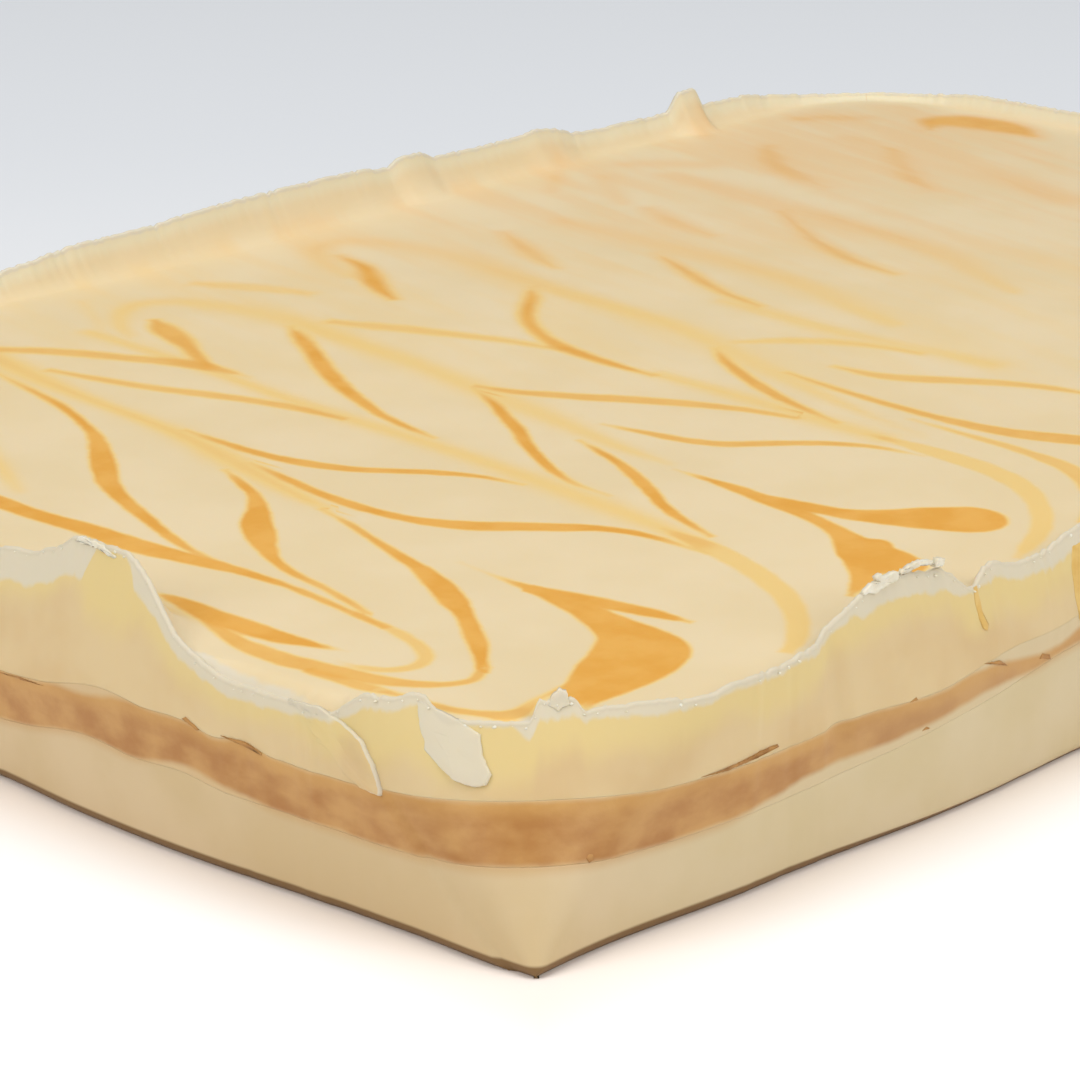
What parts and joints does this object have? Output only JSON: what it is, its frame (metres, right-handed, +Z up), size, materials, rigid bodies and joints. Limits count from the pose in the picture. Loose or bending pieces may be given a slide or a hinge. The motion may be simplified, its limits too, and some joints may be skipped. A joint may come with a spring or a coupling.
{
  "type": "fudge slab",
  "caption": "Layered fudge slab with a pale base, a caramel layer and a marbled cream top, to rest on a flat surface.",
  "frame": {"origin": "centre of the flat underside, at the middle of the overall length and width", "axes": "+X along the slab's length, +Y across its width, +Z up through the layers"},
  "size_m": [0.3026, 0.2026, 0.0345],
  "materials": {
    "pale_base": "pale cream fudge, smooth and waxy from the paper",
    "caramel": "tan caramel fudge, smooth, with a soft sheen",
    "marbled_cream": "cream fudge marbled with caramel, satin on its face and translucent at its thin edges"
  },
  "bodies": {
    "root": {"base_layer": "pale_base", "caramel_layer": "caramel", "top_layer": "marbled_cream"}
  },
  "joints": []
}
